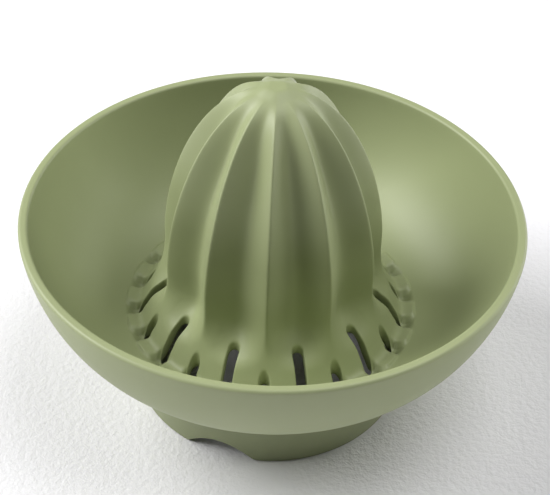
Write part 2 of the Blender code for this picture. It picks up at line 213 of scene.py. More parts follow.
def soft_ramp(x):
    """0 below 0, x up to 1, 1 above: two rounded corners, each (x + c)^2 / 4c over its 2c."""
    ramp = 0.0
    for corner, sign in ((0.0, 1), (1.0, -1)):
        bend = np.clip(x - corner + FLUTE_CORNER, 0.0, 2 * FLUTE_CORNER)
        straight = np.clip(x - corner - FLUTE_CORNER, 0.0, None)
        ramp = ramp + sign * (bend ** 2 / (4 * FLUTE_CORNER) + straight)
    return ramp


def off_crest(azimuth):
    """0 on a crest and 1 in the middle of a flute, with the crest itself rounded."""
    turn = (azimuth - FRONT) / PITCH
    off = 2 * np.abs(turn - np.round(turn))
    return np.where(off < CREST_ROUND, off * off / (2 * CREST_ROUND) + CREST_ROUND / 2, off)


def flute_shape(azimuth):
    """Share of the depth: the scallop 1 - (1 - off)^2 blended with a smoothstep wave of off."""
    off = off_crest(azimuth)
    return (1 - HOLLOWNESS) * (1 - (1 - off) ** 2) + HOLLOWNESS * smoothstep(off)


print("flutes:", RIDGES, "of", in_mm(FLUTE_DEPTH), "mm")


# %% A section that knows its normals, its length and its flutes
HALVINGS = 40                   # of a span, which finds a length to far under a micrometre


class Section:
    """A line of (radius, height) points that can be asked for a place by length and azimuth.

    Its points carry two more values: depth, how deep a flute is there, and rise, how high the
    point lies over the height at which the flutes have run out.
    """

    def __init__(self, points, inset=0.0, tail=None):
        """inset moves the line inwards along its normals. tail is more line, with no flutes."""
        step = np.gradient(points, axis=0)
        normal = np.stack([-step[:, 1], step[:, 0]], axis=1)
        normal = normal / np.linalg.norm(normal, axis=1)[:, None]
        rise = points[:, 1] - GUTTER_Z - FLUTE_END
        self.rise = np.where(points[:, 0] < GUTTER_R, rise, -FLUTE_FADE)
        grown = (points[:, 0] - FLUTE_START_R) / (FLUTE_FULL_R - FLUTE_START_R)
        self.depth = FLUTE_DEPTH * smoothstep(grown)
        self.points = points - inset * normal
        self.normal = normal
        if tail is not None:
            self.points = np.concatenate([self.points, tail])
            self.normal = np.concatenate([normal, np.zeros_like(tail)])
            self.depth = np.concatenate([self.depth, np.zeros(len(tail))])
            self.rise = np.concatenate([self.rise, np.full(len(tail), -FLUTE_FADE)])
        along = np.linalg.norm(np.diff(self.points, axis=0), axis=1)
        self.length = np.concatenate([[0.0], np.cumsum(along)])

    def at(self, place, azimuth):
        """Radius and height at a length along the line, moved in by depth x flute x normal."""
        columns = (self.points[:, 0], self.points[:, 1], self.normal[:, 0], self.normal[:, 1],
                   self.depth, self.rise)
        values = [np.interp(place, self.length, column) for column in columns]
        radius, height, across, up, depth, rise = values
        side = (1 - off_crest(azimuth)) ** 2
        fade = soft_ramp((rise - FLUTE_SCOOP * side) / FLUTE_FADE)
        groove = depth * flute_shape(azimuth) * fade
        return radius - groove * across, height - groove * up

    def length_at_radius(self, radius):
        """Length at which the line, crests only, first has this radius."""
        return float(np.interp(radius, np.maximum.accumulate(self.points[:, 0]), self.length))

    def length_at_height(self, height):
        """Length at which the line comes down to this height."""
        return float(np.interp(-height, np.maximum.accumulate(-self.points[:, 1]), self.length))

    def find(self, radius, azimuth, low, high):
        """Length at which the fluted line has this radius, by halving the span from low to high."""
        low = np.full_like(radius, low)
        high = np.full_like(radius, high)
        for _ in range(HALVINGS):
            middle = (low + high) / 2
            short = self.at(middle, azimuth)[0] < radius
            low = np.where(short, middle, low)
            high = np.where(short, high, middle)
        return (low + high) / 2


top = Section(top_line)
print("section over the top:", in_mm(top.length[-1]), "mm long")

# %% [markdown]
# ## The crown
# The real dome ends in a small soft nub with a few lobes. It could be a separate bead, but it is
# moulded in one with the dome, so it is a height added to the section's points: a low plateau
# whose edge wavers with the azimuth, with a shallow dent in its middle.

# %% The crown as a height over the dome
CROWN_R = 4.0 * MM
CROWN_H = 0.9 * MM
CROWN_LOBES = 5
CROWN_LOBE = 0.22 * MM          # how far a lobe stands out from the round edge
CROWN_DENT = 0.14 * MM
CROWN_DENT_R = 1.8 * MM
CROWN_SOFT = 4.2 * MM           # width of the slope around the plateau


def crown_height(radius, azimuth):
    """A plateau with a smoothstep slope along its edge, less a bell-shaped dent.

    The edge wavers with the azimuth a: its radius is R + L cos(5 a).
    """
    edge = CROWN_R + CROWN_LOBE * np.cos(CROWN_LOBES * (azimuth - FRONT))
    plateau = smoothstep((edge + CROWN_SOFT / 2 - radius) / CROWN_SOFT)
    dent = np.exp(-(radius / CROWN_DENT_R) ** 2)
    return CROWN_H * plateau - CROWN_DENT * dent


crown_middle = float(crown_height(0.0, 0.0))
print("crown's middle stands", in_mm(crown_middle), "mm over the dome")

# %% [markdown]
# ## Meshes from grids
# A surface is a function of two numbers, so its points are a grid. Four helpers are enough for
# the whole model: one puts a grid's points in space, one joins the grid's neighbours into
# faces, one closes a ring with a point on the axis, and one turns the collected grids into a
# welded mesh. Each works on whole arrays. Shared edges are computed twice and then merged.

# %% Columns round the axis, crowded towards crests and flute middles
SECTORS = 2 * RIDGES
COLUMNS = 14                    # in each sector
CROWDING = 0.55                 # 0 even, 1 the most


def column_azimuth(column):
    """Azimuth of a column: turn - c sin(4 pi turn) / (4 pi), turns counted in ridges."""
    turn = np.asarray(column, float) / (2 * COLUMNS)
    return FRONT + PITCH * (turn - CROWDING * np.sin(4 * math.pi * turn) / (4 * math.pi))


def in_space(radius, height, azimuth):
    """x = r cos a, y = r sin a, z = height, for arrays of any one shape."""
    return np.stack([radius * np.cos(azimuth), radius * np.sin(azimuth), height], axis=-1)


print("columns round the axis:", SECTORS * COLUMNS)


# %% A collector of grids that makes one closed mesh
WELD = 0.001 * MM


class Grids:
    """Points and faces of several grids, to be welded into one mesh."""

    def __init__(self):
        self.points, self.faces, self.count = [], [], 0

    def add(self, points):
        """A grid of rows x columns x 3, with the last column joined to the first."""
        rows, columns = points.shape[:2]
        index = self.count + np.arange(rows * columns).reshape(rows, columns)
        index = np.concatenate([index, index[:, :1]], axis=1)
        faces = np.stack([index[:-1, :-1], index[1:, :-1], index[1:, 1:], index[:-1, 1:]], axis=-1)
        self.points.append(points.reshape(-1, 3))
        self.faces += faces.reshape(-1, 4).tolist()
        self.count += rows * columns

    def cap(self, ring, pole):
        """A fan of triangles from a ring to one point."""
        index = self.count + np.arange(len(ring))
        tip = np.full(len(ring), self.count + len(ring))
        self.faces += np.stack([index, np.roll(index, -1), tip], axis=1).tolist()
        self.points += [ring, np.array([pole])]
        self.count += len(ring) + 1

    def mesh(self, name):
        """Welds points that lie together, turns all faces outwards and shades them smooth."""
        mesh = bpy.data.meshes.new(name)
        mesh.from_pydata(np.concatenate(self.points).tolist(), [], self.faces)
        work = bmesh.new()
        work.from_mesh(mesh)
        bmesh.ops.remove_doubles(work, verts=work.verts, dist=WELD)
        bmesh.ops.recalc_face_normals(work, faces=work.faces)
        loose = sum(not edge.is_manifold for edge in work.edges)
        volume = work.calc_volume(signed=True)
        work.to_mesh(mesh)
        work.free()
        mesh.shade_smooth()
        triangles = sum(len(face.vertices) - 2 for face in mesh.polygons)
        print(name, triangles, "triangles,", loose, "open edges,", round(volume * 1e6, 2), "cm3")
        return mesh


# %% [markdown]
# ## The slots
# A long slot lies under each flute and a short one under each ridge. A Boolean cutter would
# leave hard, badly shaded edges. Instead the surface around each slot is a patch of its own:
# closed loops that change step by step from the sector's four sides into the slot's rounded
# outline. The last loops are the outline itself, moved out by small steps, so the mouth gets a
# true round edge, and the same outline goes straight down to the underside.

# %% The slot's outline and the sector round it
SLOT_W = 3.1 * MM
SLOT_END_R = 38.6 * MM          # the outer end of every slot
LONG_SLOT = 9.3 * MM
SHORT_SLOT = 4.2 * MM
SIDE_STEPS = 22                 # along each long side of a loop


def slot_loop(inner_r, offset):
    """The slot's outline moved out by offset, clockwise seen from above, as rows of (x, y)."""
    half = SLOT_W / 2 + offset
    inner = inner_r + SLOT_W / 2
    outer = SLOT_END_R - SLOT_W / 2
    bend = np.linspace(-math.pi / 2, math.pi / 2, COLUMNS + 1)
    side = np.linspace(inner, outer, SIDE_STEPS + 1)
    near = np.stack([inner - half * np.cos(bend), half * np.sin(bend)], axis=1)
    right = np.stack([side, np.full_like(side, half)], axis=1)
    far = np.stack([outer + half * np.cos(bend), -half * np.sin(bend)], axis=1)
    left = np.stack([side[::-1], np.full_like(side, -half)], axis=1)
    return np.concatenate([near[:-1], right[:-1], far[:-1], left[:-1]])


def sector_loop(sector, first, last):
    """The sector's four sides in the same order, as rows of (length on the section, azimuth)."""
    column = sector * COLUMNS + np.arange(-COLUMNS // 2, COLUMNS // 2 + 1)
    azimuth = column_azimuth(column)
    side = np.linspace(first, last, SIDE_STEPS + 1)
    near = np.stack([np.full_like(azimuth, first), azimuth], axis=1)
    right = np.stack([side, np.full_like(side, azimuth[-1])], axis=1)
    far = np.stack([np.full_like(azimuth, last), azimuth[::-1]], axis=1)
    left = np.stack([side[::-1], np.full_like(side, azimuth[0])], axis=1)
    return np.concatenate([near[:-1], right[:-1], far[:-1], left[:-1]])


print("slots:", RIDGES, "long and", RIDGES, "short,", in_mm(SLOT_W), "mm wide")

# %% [markdown]
# ## The strips between the slots
# On the real strainer the strips between the slots run on past the slots' outer ends, stand up
# a little from the bowl's floor and end in round tips, with a groove between each two. They could
# be 22 small bars on top of the floor. They are a height that is added to it instead, because
# they are moulded in one with it and leave no edge where they begin.

# %% The strips and the grooves as one relief
FINGER_TIP_R = 42.4 * MM        # the strips end here, on the bowl's floor
FINGER_RISE = 0.9 * MM          # and stand this high over it
FINGER_START_R = 38.0 * MM      # the rise begins here
FINGER_FULL_R = 41.0 * MM       # and is full here
FINGER_CORNER = 1.6 * MM        # rounding of their ends, seen from above
FINGER_SOFT = 0.8 * MM          # width of their soft edge
GROOVE_SPREAD = 0.12            # a groove's sides turn outwards by this share of its length
GROOVE_DEPTH = 2.4 * MM         # under the floor, at the slot's outer end
GROOVE_START = 1.8 * MM         # it begins this far inside that end


def finger_relief(radius, off):
    """Height of the strips over the floor, less the depth of the grooves between them.

    off is the azimuth from the nearest slot. A strip's outline is two straight sides and an arc at
    its tip, with corners rounded by c - |(c - side, c - end)|, where side and end are the
    distances inside them.
    """
    x, y = radius * np.cos(off), radius * np.sin(off)
    side = np.abs(y) - SLOT_W / 2 - GROOVE_SPREAD * np.clip(x - SLOT_END_R, 0.0, None)
    short = np.hypot(np.clip(FINGER_CORNER - side, 0.0, None),
                     np.clip(FINGER_CORNER - FINGER_TIP_R + radius, 0.0, None))
    finger = smoothstep((FINGER_CORNER - short) / FINGER_SOFT)
    rise = FINGER_RISE * smoothstep((radius - FINGER_START_R) / (FINGER_FULL_R - FINGER_START_R))
    start = smoothstep((x - SLOT_END_R) / GROOVE_START + 1)
    reach = np.clip((FINGER_TIP_R - radius) / (FINGER_TIP_R - SLOT_END_R), 0.0, 1.0)
    return rise * finger - GROOVE_DEPTH * start * smoothstep(reach) * (1 - finger)


print("strips end", in_mm(FINGER_TIP_R - SLOT_END_R), "mm past the slots")

# %% [markdown]
# ## A patch round each slot
# A moulded slot has a soft round mouth, above and below. A Bevel modifier would round it only
# where the Boolean's edges are clean, which they aren't on a fluted surface. The loops are
# computed instead: the first ones blend from the sector's sides to the widest outline, and the
# last ones drop along a quarter circle towards the slot.

# %% The loops round one slot
TOP_BLENDS = 6                  # loops from the sector's sides to just before the widest outline
TOP_OFFSETS = np.array([1.3, 0.85, 0.6, 0.45, 0.32, 0.18, 0.06, 0.0]) * MM
TOP_ROUND = 0.4 * MM
UNDER_BLENDS = 4
UNDER_OFFSETS = np.array([0.45, 0.25, 0.1, 0.0]) * MM
UNDER_ROUND = 0.25 * MM


def outside(x, y, inner_r):
    """Distance from the slot's outline: to the slot's middle line, less half the slot's width."""
    inner = inner_r + SLOT_W / 2
    outer = SLOT_END_R - SLOT_W / 2
    beyond = x - np.clip(x, inner, outer)
    return np.hypot(beyond, y) - SLOT_W / 2


def edge_drop(distance, radius):
    """How far a round edge lies under the flat: r - sqrt(r^2 - (r - distance)^2)."""
    short = np.clip(radius - distance, 0.0, radius)
    return radius - np.sqrt(radius ** 2 - short ** 2)


def slot_loops(section, centre, inner_r, offsets, first, last):
    """The slot's outlines at all offsets, as (length on the section, azimuth)."""
    flat = np.stack([slot_loop(inner_r, offset) for offset in offsets])
    azimuth = centre + np.arctan2(flat[..., 1], flat[..., 0])
    place = section.find(np.hypot(flat[..., 0], flat[..., 1]), azimuth, first, last)
    return np.stack([place, azimuth], axis=-1)


def patch(section, sector, inner_r, span, blends, offsets):
    """Radius, height, azimuth and distance from the slot, for the loops round one slot.

    span is the patch's first and last length on the section. Between the sector's sides and the
    widest outline, length and azimuth are blended evenly.
    """
    centre = column_azimuth(sector * COLUMNS)
    rim = sector_loop(sector, *span)
    loops = slot_loops(section, centre, inner_r, offsets, *span)
    share = np.linspace(0.0, 1.0, blends + 1)[:-1, None, None]
    grid = np.concatenate([rim * (1 - share) + loops[0] * share, loops])
    azimuth = grid[..., 1]
    radius, height = section.at(grid[..., 0], azimuth)
    x, y = radius * np.cos(azimuth - centre), radius * np.sin(azimuth - centre)
    return radius, height, azimuth, np.clip(outside(x, y, inner_r), 0.0, None)


def upper_patch(section, sector, inner_r, span):
    """The patch on the strainer: its mouth bends down, and it has its part of the strips."""
    radius, height, azimuth, distance = patch(section, sector, inner_r, span, TOP_BLENDS, TOP_OFFSETS)
    relief = finger_relief(radius, azimuth - column_azimuth(sector * COLUMNS))
    return in_space(radius, height - edge_drop(distance, TOP_ROUND) + relief, azimuth)


def lower_patch(section, sector, inner_r, span):
    """The patch under the strainer: its mouth bends up."""
    radius, height, azimuth, distance = patch(section, sector, inner_r, span, UNDER_BLENDS, UNDER_OFFSETS)
    return in_space(radius, height + edge_drop(distance, UNDER_ROUND), azimuth)


# %% [markdown]
# ## The underside
# The real juicer's underside follows its top at one wall's thickness, and has a low socket that
# sits round the foot ring, with three keys that keep it from turning. A Solidify modifier could
# thicken the top, but it would repeat the strips and the mouths below and knows no socket. So the
# underside has a section of its own: dome, side and skirt moved in by the wall, with their
# flutes, and then the flat seat.

# %% The section of the hollow, the seat, and the keys
PLUG_R = 41.8 * MM              # the foot ring's upper end, which the socket sits round
PLUG_WALL = 2.4 * MM
SOCKET_R = PLUG_R + GAP
SOCKET_OUTER_R = SOCKET_R + 1.8 * MM
SOCKET_Z = SEAT_Z - 4.0 * MM
SOCKET_EDGE = 0.4 * MM
SOCKET_FILLET = 1.6 * MM
SEAT_INNER_R = 39.0 * MM        # just outside the slots
SEAT_POINTS = 30
HOLLOW_DOME_POINTS = 160
HOLLOW_SKIRT_POINTS = 120
KEYS = 3
KEY_W = 5.0 * MM
KEY_H = 2.0 * MM
KEY_SOFT = 0.8 * MM             # width of a key's soft flanks
ARCH_AZIMUTH = math.radians(-108.0)

hollow_line = reamer_piece(HOLLOW_DOME_POINTS, HOLLOW_SKIRT_POINTS)
slope = math.radians(SKIRT_SLOPE)
hollow_foot = hollow_line[-1] - WALL * np.array([math.sin(slope), math.cos(slope)])
seat_start = hollow_foot[0] + (hollow_foot[1] - SEAT_Z) / math.tan(slope)
seat = line((seat_start, SEAT_Z), (SOCKET_R, SEAT_Z), SEAT_POINTS)
under = Section(hollow_line, WALL, seat)
print("section of the hollow:", in_mm(under.length[-1]), "mm long")


def key_shape(azimuth, width):
    """1 at a key and 0 beside it, with soft flanks. The arch lies midway between two keys."""
    step = 2 * math.pi / KEYS
    turn = (azimuth - ARCH_AZIMUTH) / step - 0.5
    off = np.abs(turn - np.round(turn)) * step * PLUG_R
    return smoothstep((width / 2 - off) / KEY_SOFT + 0.5)


# %% The outer wall, the socket and the seat as rings
WALL_POINTS = 90
WALL_STEP = 3                   # every third of those points becomes a ring
FILLET_POINTS = 7
EDGE_POINTS = 4
SOCKET_ROWS = 4
SEAT_ROWS = 4
KEY_MARGIN = 0.2 * MM           # from the keys' inner ends to the patches under the slots


def outside_line():
    """The section from the lip down the outer wall and round the socket's lower end."""
    wall = Section(bowl_piece(WALL_POINTS), WALL).points[::-1]
    wall = wall[wall[:, 0] > SOCKET_OUTER_R + SOCKET_FILLET][WALL_STEP::WALL_STEP]
    drop = (wall[-1][0] - SOCKET_OUTER_R) * math.tan(math.radians(FLOOR_RISE))
    corner = (SOCKET_OUTER_R, wall[-1][1] - drop)
    end = (SOCKET_OUTER_R, corner[1] - SOCKET_FILLET)
    fillet = bezier(wall[-1], corner, corner, end, FILLET_POINTS)
    level = SOCKET_Z + SOCKET_EDGE
    outer_edge = arc((SOCKET_OUTER_R - SOCKET_EDGE, level), SOCKET_EDGE, 0, -90, EDGE_POINTS)
    inner_edge = arc((SOCKET_R + SOCKET_EDGE, level), SOCKET_EDGE, -90, -180, EDGE_POINTS)
    return np.concatenate([top.points[-1:], wall, fillet[1:], outer_edge, inner_edge])


def outer_rings(azimuth):
    """The outside line carried round, then the socket's inner wall and the seat, with the keys.

    The keys lower the seat, and the inner wall ends at the lowered seat.
    """
    rings = outside_line()
    seat_z = SEAT_Z - KEY_H * key_shape(azimuth, KEY_W)
    wall_start = SOCKET_Z + SOCKET_EDGE
    share = np.arange(1, SOCKET_ROWS + 1)[:, None] / SOCKET_ROWS
    seat_r = line(SOCKET_R, SEAT_INNER_R + KEY_MARGIN, SEAT_ROWS + 1)[1:]
    radii = np.concatenate([rings[:, 0], np.full(SOCKET_ROWS, SOCKET_R), seat_r, [SEAT_INNER_R]])
    height = np.concatenate([np.repeat(rings[:, 1:], len(azimuth), axis=1),
                             wall_start + (seat_z - wall_start) * share,
                             np.repeat(seat_z[None], SEAT_ROWS, axis=0),
                             np.full((1, len(azimuth)), SEAT_Z)])
    return in_space(np.repeat(radii[:, None], len(azimuth), axis=1), height, azimuth)


print("outer wall and socket:", len(outside_line()), "rings")

# %% [markdown]
# ## The upper piece
# Now the zones are put together: the dome with its crown, the slot patches, the bowl with its
# lip and outer wall, the socket that sits on the foot ring, the patches under the slots, the
# slots' upright walls, and the hollow under the dome. Every zone ends on a ring or a side that
# the next one starts with, so the whole piece closes without a seam.

# %% The zones of the upper piece
FIRST_RING = 0.2 * MM           # length from the dome's top to its first ring
HOLLOW_FIRST_RING = 0.3 * MM
CROWN_ZONE_R = 6.0 * MM         # the rings lie closer together up to here
PATCH_TOP_Z = 40.0 * MM         # the slots' patches begin here, in the skirt
PATCH_END_R = 40.8 * MM         # and end here, in the gutter
FINGER_END_R = 43.2 * MM        # just outside the strips
CROWN_ROWS = 22
DOME_ROWS = 62
FINGER_ROWS = 10
BOWL_ROWS = 26
LIP_ROWS = 18
HOLLOW_ROWS = 22
WALL_ROWS = 3                   # of a slot's upright wall


def whole_rings(section, places, crowned=False, fingered=False):
    """Full rings of the section at the given lengths, as a grid."""
    column = np.arange(SECTORS * COLUMNS)
    azimuth = column_azimuth(column)
    radius, height = section.at(np.asarray(places)[:, None], azimuth[None])
    if crowned:
        height = height + crown_height(radius, azimuth[None])
    if fingered:
        nearest = column_azimuth(COLUMNS * np.round(column / COLUMNS))
        height = height + finger_relief(radius, azimuth - nearest)
    return in_space(radius, height, np.broadcast_to(azimuth, radius.shape))


def add_dome(grids, end):
    """The dome's rings from its closed top to the patches."""
    crown_end = top.length_at_radius(CROWN_ZONE_R)
    places = join(line(FIRST_RING, crown_end, CROWN_ROWS), line(crown_end, end, DOME_ROWS))
    dome = whole_rings(top, places, crowned=True)
    grids.add(dome)
    grids.cap(dome[0], (0.0, 0.0, DOME_BASE_Z + DOME_H + crown_middle))


def add_bowl(grids, start):
    """The bowl's inside from the patches to the lip, then its outside down to the seat."""
    floor_start = top.length_at_radius(FINGER_END_R)
    lip_start = top.length_at_radius(bowl_piece(2)[-1][0])
    places = join(line(start, floor_start, FINGER_ROWS), line(floor_start, lip_start, BOWL_ROWS),
                  line(lip_start, top.length[-1], LIP_ROWS))
    grids.add(whole_rings(top, places, fingered=True))
    grids.add(outer_rings(column_azimuth(np.arange(SECTORS * COLUMNS))))


def add_hollow(grids, end):
    """The inner dome's rings from its closed top to the patches under the slots."""
    hollow = whole_rings(under, line(HOLLOW_FIRST_RING, end, HOLLOW_ROWS))
    grids.add(hollow)
    grids.cap(hollow[0], (0.0, 0.0, DOME_BASE_Z + DOME_H - WALL))


def add_slot(grids, sector, span, under_span):
    """One slot: its patch above, its patch below, and its wall, blended from one to the other."""
    inner_r = SLOT_END_R - (LONG_SLOT if sector % 2 else SHORT_SLOT)
    upper = upper_patch(top, sector, inner_r, span)
    lower = lower_patch(under, sector, inner_r, under_span)
    share = np.linspace(0.0, 1.0, WALL_ROWS + 1)[:, None, None]
    for points in (upper, lower, upper[-1] * (1 - share) + lower[-1] * share):
        grids.add(points)


# %% The upper piece, welded from its zones
def new_piece(name, grids):
    """The grids as one mesh object at the origin, linked to the scene."""
    piece = bpy.data.objects.new(name, grids.mesh(name))
    bpy.context.scene.collection.objects.link(piece)
    return piece


head_grids = Grids()
span = (top.length_at_height(PATCH_TOP_Z), top.length_at_radius(PATCH_END_R))
under_span = (under.length_at_height(PATCH_TOP_Z - WALL), under.length_at_radius(SEAT_INNER_R))
add_dome(head_grids, span[0])
add_bowl(head_grids, span[1])
add_hollow(head_grids, under_span[0])
for sector in range(SECTORS):
    add_slot(head_grids, sector, span, under_span)
head = new_piece("juicer_head_fine", head_grids)
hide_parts("juicer_head")
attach(head, "head")


# %% [markdown]
# ## The foot ring
# The lower piece is a turned collar: a section carried once round the axis. It could be a curve
# with a Screw modifier and a Boolean for the arch. Here the section's points are simply lifted
# where the arch is, by the arch's own height, so the bottom edge keeps its small rounding all
# the way round the arch, which a cut would lose.

# %% The foot ring's section
FOOT_R = 39.5 * MM
FOOT_Z = foot_high.z
SHOULDER_Z = FOOT_Z - 4.3 * MM  # upright over this height, leaning inwards below it
FOOT_EDGE = 0.8 * MM            # the rounding on which it stands
FOOT_INNER_EDGE = 0.4 * MM
FOOT_EDGE_POINTS = 7
INNER_EDGE_POINTS = 5
COLLAR_POINTS = 5
SIDE_POINTS = 22
INSIDE_POINTS = 18
INNER_COLLAR_POINTS = 6
FLAT_POINTS = 4                 # across the top


def ring_section():
    """The collar's closed section as (radius, height), clockwise from its upper outer edge."""
    inner_r, collar_inner_r = FOOT_R - PLUG_WALL, PLUG_R - PLUG_WALL
    small = FOOT_INNER_EDGE
    top_edge = arc((PLUG_R - small, FOOT_Z - small), small, 90, 0, INNER_EDGE_POINTS)
    collar = line((PLUG_R, FOOT_Z - FOOT_EDGE), (PLUG_R, SHOULDER_Z), COLLAR_POINTS)
    side = line((PLUG_R, SHOULDER_Z), (FOOT_R, FOOT_EDGE), SIDE_POINTS)
    edge = arc((FOOT_R - FOOT_EDGE, FOOT_EDGE), FOOT_EDGE, 0, -90, FOOT_EDGE_POINTS)
    inner_edge = arc((inner_r + small, small), small, -90, -180, INNER_EDGE_POINTS)
    inside = line((inner_r, small), (collar_inner_r, SHOULDER_Z), INSIDE_POINTS)
    inner_collar = line((collar_inner_r, SHOULDER_Z), (collar_inner_r, FOOT_Z), INNER_COLLAR_POINTS)
    flat = line((collar_inner_r, FOOT_Z), (PLUG_R - small, FOOT_Z), FLAT_POINTS)
    return np.concatenate([top_edge, collar[:-1], side, edge[1:], inner_edge, inside[1:],
                           inner_collar[1:-1], flat])


print("foot ring's section:", len(ring_section()), "points")

# %% The arch, the notches for the keys, and the ring itself
ARCH_W = 20.0 * MM
ARCH_H = 6.1 * MM
ARCH_SOFT = 0.5 * MM
ARCH_REACH = 1.2                # radians from its middle, beyond which there is no arch
ARCH_SPAN = math.radians(17.0)  # half of the stretch with fine steps
ARCH_COLUMNS = 120
RING_COLUMNS = 230
NOTCH_W = KEY_W + 2 * GAP
NOTCH_H = KEY_H + GAP


def ring_azimuths():
    """Even steps round the ring, with finer even steps across the arch."""
    fine = np.linspace(-ARCH_SPAN, ARCH_SPAN, ARCH_COLUMNS + 1)[:-1]
    rest = np.linspace(ARCH_SPAN, 2 * math.pi - ARCH_SPAN, RING_COLUMNS + 1)[:-1]
    return ARCH_AZIMUTH + np.concatenate([fine, rest])


def arch_height(radius, azimuth):
    """A parabola p over the distance from the arch's middle plane: H (1 - (2 x / W)^2).

    It is softened where it meets the table: (p + sqrt(p^2 + soft^2)) / 2.
    """
    off = (azimuth - ARCH_AZIMUTH + math.pi) % (2 * math.pi) - math.pi
    across = radius * np.sin(np.clip(off, -ARCH_REACH, ARCH_REACH))
    over = ARCH_H * (1 - (2 * across / ARCH_W) ** 2)
    return (over + np.sqrt(over ** 2 + ARCH_SOFT ** 2)) / 2


def foot_points():
    """Every section point at every azimuth, as a grid whose last row is the first again.

    The arch lifts what lies under the shoulder, along the leaning wall and less the higher it
    lies. The notches lower what lies over the shoulder.
    """
    azimuth = ring_azimuths()
    points = ring_section()
    radius = np.repeat(points[:, :1], len(azimuth), axis=1)
    height = np.repeat(points[:, 1:], len(azimuth), axis=1)
    below = np.clip(1 - height / SHOULDER_Z, 0.0, 1.0)
    above = np.clip((height - SHOULDER_Z) / (FOOT_Z - SHOULDER_Z), 0.0, 1.0)
    lift = arch_height(radius, azimuth) * below
    drop = NOTCH_H * key_shape(azimuth, NOTCH_W) * above
    lean = (PLUG_R - FOOT_R) / SHOULDER_Z
    return in_space(radius + lean * lift, height + lift - drop, np.broadcast_to(azimuth, radius.shape))


foot_grids = Grids()
foot_grids.add(foot_points())
foot = new_piece("foot_ring_fine", foot_grids)
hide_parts("foot_ring")
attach(foot, "foot")


# %% [markdown]
# ## Shader maths as Python
# A material is a small calculation at every point of a surface. Its nodes could be placed one
# by one, but then the calculation is hard to read. A wrapped socket with Python's own operators
# lets a line of code look like the formula, and adds the Math nodes itself.

# %% A socket that can be calculated with
class Field:
    """One output of a material's nodes. Arithmetic on it adds Math nodes."""

    def __init__(self, tree, socket=None):
        self.tree, self.socket = tree, socket

    def node(self, kind, settings, inputs, output=0):
        """Any node: its type, its settings, then values or links for its sockets."""
        made = self.tree.nodes.new(kind)
        for name, value in settings.items():
            setattr(made, name, value)
        for name, value in inputs.items():
            if isinstance(value, Field):
                self.tree.links.new(value.socket, made.inputs[name])
            else:
                made.inputs[name].default_value = value
        return Field(self.tree, made.outputs[output])

    def math(self, operation, first, second):
        """One Math node."""
        return self.node("ShaderNodeMath", {"operation": operation}, {0: first, 1: second})

    def feed(self, shader, name):
        """Links this output to a socket of the shader."""
        self.tree.links.new(self.socket, shader.inputs[name])

    def __add__(self, other):
        return self.math("ADD", self, other)

    def __mul__(self, other):
        return self.math("MULTIPLY", self, other)

    def __sub__(self, other):
        return self.math("SUBTRACT", self, other)

    def __rsub__(self, other):
        return self.math("SUBTRACT", other, self)

    __radd__ = __add__
    __rmul__ = __mul__


# %% What both materials start with
def fresh_material(name):
    """A new material, its shader, and the place on the piece in Object coordinates."""
    material = bpy.data.materials.new(name)
    material.use_nodes = True
    tree = material.node_tree
    place = Field(tree).node("ShaderNodeTexCoord", {}, {}, "Object")
    return material, tree.nodes["Principled BSDF"], place


def noise(place, per_metre, octaves):
    """Soft noise from 0 to 1, with so many cells in a metre."""
    inputs = {"Vector": place, "Scale": per_metre, "Detail": octaves}
    return place.node("ShaderNodeTexNoise", {}, inputs)


def bump(height, strength):
    """A normal that leans with the slope of a height in metres."""
    inputs = {"Height": height, "Strength": strength, "Distance": 1.0}
    return height.node("ShaderNodeBump", {}, inputs, "Normal")


# %% [markdown]
# ## Moulded plastic
# The real finish is a matte polypropylene: one sage green all through, a very fine grain from
# the mould's spark-eroded steel, and a faint unevenness where the thick and thin walls shrank
# differently. A picture of plastic would show its repeats. The grain is noise at a few tenths
# of a millimetre, the unevenness is noise at centimetres, and both also move the roughness a
# little, which is what makes a matte surface look real in soft light. The foot ring gets a
# darker copy of the green: painted shade, for the shadow that the bowl casts on it.

# %% The sage plastic
SAGE = (0.316, 0.354, 0.186, 1.0)
SAGE_DEEP = (0.297, 0.335, 0.171, 1.0)
# The foot ring's green is multiplied by this factor: painted shade, for the shadow that the bowl casts on
# it.
FOOT_PAINTED_SHADE = 0.86               # the foot ring looks a little deeper
ROUGHNESS = 0.48
REFRACTION = 1.49               # polypropylene
GRAIN_PER_M = 4200.0
GRAIN_OCTAVES = 2.0
GRAIN_ROUGHNESS = 0.10
GRAIN_HEIGHT = 0.004 * MM
UNEVEN_PER_M = 70.0
UNEVEN_OCTAVES = 3.0
UNEVEN_ROUGHNESS = 0.06
UNEVEN_HEIGHT = 0.05 * MM
PLASTIC_BUMP = 0.6


def with_painted_shade(colour, painted_shade):
    """Red, green and blue times the painted shade factor, alpha as it is."""
    return (*(painted_shade * part for part in colour[:3]), colour[3])


def sage_plastic(name, painted_shade):
    """Green times the painted shade factor, blended by slow noise, with roughness and bump from grain and
    unevenness.

    The roughness is r + g (grain - 1/2) + u (uneven - 1/2), and the height g' grain + u' uneven.
    """
    material, shader, place = fresh_material(name)
    grain = noise(place, GRAIN_PER_M, GRAIN_OCTAVES)
    uneven = noise(place, UNEVEN_PER_M, UNEVEN_OCTAVES)
    ends = {"Factor": uneven, "A": with_painted_shade(SAGE, painted_shade), "B": with_painted_shade(SAGE_DEEP, painted_shade)}
    colour = place.node("ShaderNodeMix", {"data_type": "RGBA"}, ends, "Result")
    roughness = ROUGHNESS + GRAIN_ROUGHNESS * (grain - 0.5) + UNEVEN_ROUGHNESS * (uneven - 0.5)
    height = grain * GRAIN_HEIGHT + uneven * UNEVEN_HEIGHT
    colour.feed(shader, "Base Color")
    roughness.feed(shader, "Roughness")
    bump(height, PLASTIC_BUMP).feed(shader, "Normal")
    shader.inputs["IOR"].default_value = REFRACTION
    return material


